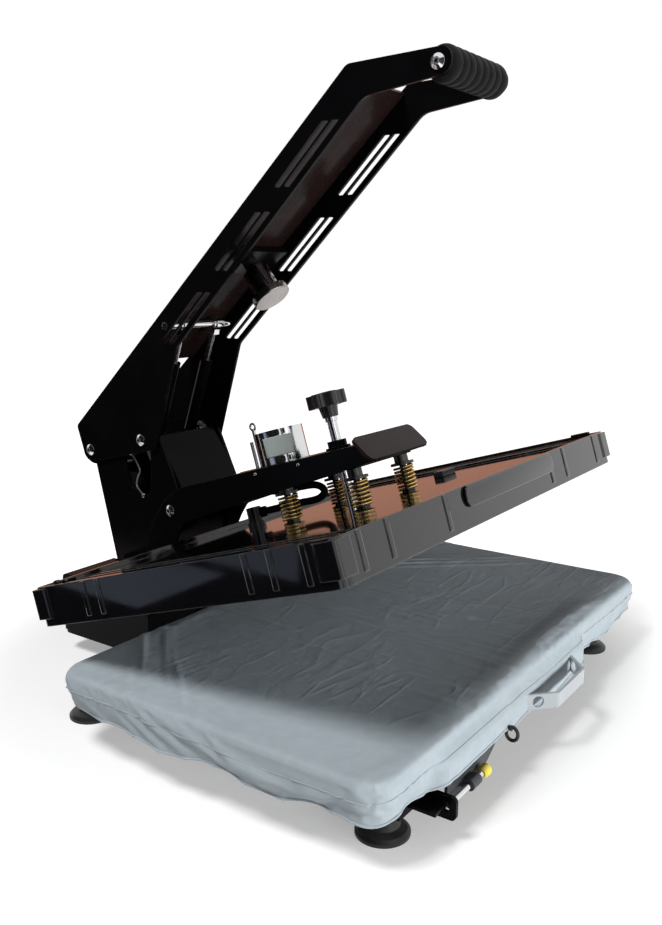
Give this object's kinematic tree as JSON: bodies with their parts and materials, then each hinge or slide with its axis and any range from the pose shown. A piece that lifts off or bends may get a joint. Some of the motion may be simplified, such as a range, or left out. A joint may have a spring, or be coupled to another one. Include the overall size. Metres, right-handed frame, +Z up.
{
  "type": "slide-out heat press",
  "caption": "Clamshell heat press with a slide-out lower table, a magnet catch, gas-spring lever, sprung heat platen, pressure screw and drawer latch.",
  "frame": {"origin": "centre of the whole machine's outline, at floor height under the rubber feet, with the press open and the drawer in", "axes": "+Z up, -Y to the operator's side where the drawer slides out, +X to the operator's right"},
  "size_m": [0.64, 0.6876, 0.695],
  "materials": {
    "black_paint": "gloss",
    "black_plastic": "satin",
    "chrome": "polished",
    "zinc_steel": "brushed",
    "black_rubber": "matte",
    "red_plastic": "gloss",
    "aluminium": "satin",
    "silicone": "matte",
    "silver_cloth": "silver coated cloth",
    "grey_paint": "satin",
    "slate_paint": "satin",
    "yellow_plastic": "gloss",
    "circuit_board": "satin",
    "wool": "ceramic wool",
    "brass_wire": "zinc yellow plated",
    "foam": "foam"
  },
  "bodies": {
    "base": {"base_frame": "black_paint", "rubber_feet": "black_rubber", "upright_left": "black_paint", "upright_right": "black_paint", "gas_spring_bracket": "black_paint", "housing_left": "black_paint", "housing_right": "black_paint", "power_inlet": "black_plastic", "switch_bezel": "black_plastic", "slide_channels": "zinc_steel", "latch_keeper": "black_paint", "yoke_pivot_bolts": "chrome", "lever_pivot_bolts": "chrome"},
    "switch": {"power_rocker": "red_plastic"},
    "drawer": {"carriage": "black_paint", "slide_runners": "chrome", "lower_platen": "aluminium", "silicone_pad": "silicone", "pad_cover": "silver_cloth", "drawer_handle": "grey_paint", "latch_plate": "slate_paint"},
    "latch": {"latch_pin": "chrome", "latch_knob": "yellow_plastic"},
    "yoke": {"yoke_arm_left": "black_paint", "yoke_arm_right": "black_paint", "yoke_web": "black_paint", "yoke_front_flange": "black_paint", "spring_plates": "black_paint", "spring_seats": "chrome", "control_panel": "black_paint", "control_board": "circuit_board", "electromagnet": "chrome", "eye_rods": "chrome", "spindle_boss": "black_paint", "link_arm_bolts": "chrome"},
    "platen": {"heat_platen": "aluminium", "insulation": "wool", "heat_cover": "black_paint", "cable_gland": "black_plastic", "heater_lead": "black_rubber", "suspension_bolts": "zinc_steel", "suspension_springs": "brass_wire", "spindle_socket": "zinc_steel"},
    "knob": {"pressure_spindle": "chrome", "pressure_knob": "black_plastic"},
    "lever": {"lever_cheek_left": "black_paint", "lever_cheek_right": "black_paint", "lever_web": "black_paint", "armature_crossbar": "black_paint", "armature_stem": "black_plastic", "armature": "chrome", "grip_bar": "zinc_steel", "grip_foam": "foam", "grip_screws": "chrome", "link_top_bolts": "chrome", "gas_spring_shaft": "chrome"},
    "link": {"toggle_links": "zinc_steel"},
    "gas_rod": {"gas_rods": "chrome"},
    "gas_cylinder": {"gas_cylinders": "black_paint"}
  },
  "joints": [
    {"name": "yoke_hinge", "type": "hinge", "parent": "base", "child": "yoke", "pos_m": [0, 0.2057, 0.06], "axis": [1, 0, 0], "range_deg": [0, 17.37], "stiffness_Nm_per_rad": 80, "springref_deg": -57.3},
    {"name": "lever_hinge", "type": "hinge", "parent": "base", "child": "lever", "pos_m": [0, 0.3171, 0.2489], "axis": [1, 0, 0], "range_deg": [-0.1, 39.5]},
    {"name": "link_hinge", "type": "hinge", "parent": "lever", "child": "link", "pos_m": [0, 0.2193, 0.2721], "axis": [1, 0, 0], "range_deg": [-78.82, 0.1]},
    {"name": "gas_rod_hinge", "type": "hinge", "parent": "lever", "child": "gas_rod", "pos_m": [0, 0.1697, 0.419], "axis": [1, 0, 0], "range_deg": [-0.1, 20.31]},
    {"name": "gas_cylinder_slide", "type": "slide", "parent": "gas_rod", "child": "gas_cylinder", "axis": [0, -0.336, 0.9419], "range_m": [-0.0001, 0.03399]},
    {"name": "drawer_slide", "type": "slide", "parent": "base", "child": "drawer", "axis": [0, -1, 0], "range_m": [0, 0.25]},
    {"name": "latch_slide", "type": "slide", "parent": "drawer", "child": "latch", "axis": [-1, 0, 0], "range_m": [0, 0.008]},
    {"name": "switch_rock", "type": "hinge", "parent": "base", "child": "switch", "pos_m": [0.09, 0.2767, 0.066], "axis": [1, 0, 0], "range_deg": [0, 16]},
    {"name": "knob_turn", "type": "hinge", "parent": "platen", "child": "knob", "pos_m": [0, -0.03613, 0.31691], "axis": [0, 0.2985, 0.9544], "range_deg": [-721, 1081]},
    {"name": "platen_slide", "type": "slide", "parent": "yoke", "child": "platen", "axis": [0, 0.2985, 0.9544], "range_m": [-0.004, 0.006], "deforming": ["suspension_springs", "heater_lead"]}
  ],
  "couplings": [
    {"joint": "lever_hinge", "follows": "yoke_hinge", "ratio": 2.2683},
    {"joint": "link_hinge", "follows": "yoke_hinge", "ratio": -4.5321},
    {"joint": "gas_rod_hinge", "follows": "yoke_hinge", "ratio": 1.1637},
    {"joint": "gas_cylinder_slide", "follows": "yoke_hinge", "m_per_rad": 0.11178},
    {"joint": "knob_turn", "follows": "platen_slide", "rad_per_m": 3141.6}
  ]
}
